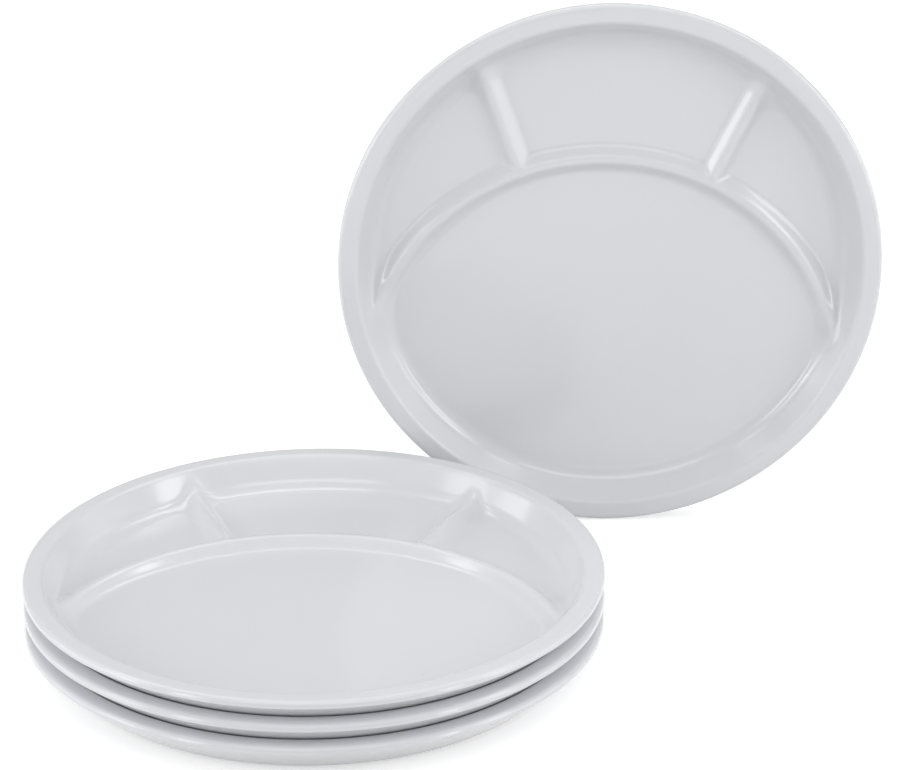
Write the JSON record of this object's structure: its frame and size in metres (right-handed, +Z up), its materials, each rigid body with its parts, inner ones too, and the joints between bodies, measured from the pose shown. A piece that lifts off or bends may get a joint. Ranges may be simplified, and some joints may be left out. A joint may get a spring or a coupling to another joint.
{
  "type": "divided compartment plate set",
  "caption": "Round white melamine plates with an arched ridge and dividers that part the floor into a main and small compartments, nested in a stack with one standing upright.",
  "frame": {"origin": "on the table, under the middle of the whole arrangement", "axes": "+Z up, +X from the stack towards the standing plate's side, -Y towards the viewer"},
  "size_m": [0.397, 0.2849, 0.26],
  "materials": {
    "melamine": "glossy moulded melamine"
  },
  "bodies": {
    "plate_bottom": {"plate_bottom": "melamine"},
    "plate_middle": {"plate_middle": "melamine"},
    "plate_top": {"plate_top": "melamine"},
    "plate_standing": {"plate_standing": "melamine"}
  },
  "joints": [
    {"name": "middle_lift", "type": "slide", "parent": "plate_bottom", "child": "plate_middle", "axis": [0, 0, 1], "range_m": [0, 0.08]},
    {"name": "top_lift", "type": "slide", "parent": "plate_middle", "child": "plate_top", "axis": [0, 0, 1], "range_m": [0, 0.08]},
    {"name": "standing_lift", "type": "slide", "parent": "plate_bottom", "child": "plate_standing", "axis": [0, 0, 1], "range_m": [0, 0.08]}
  ]
}
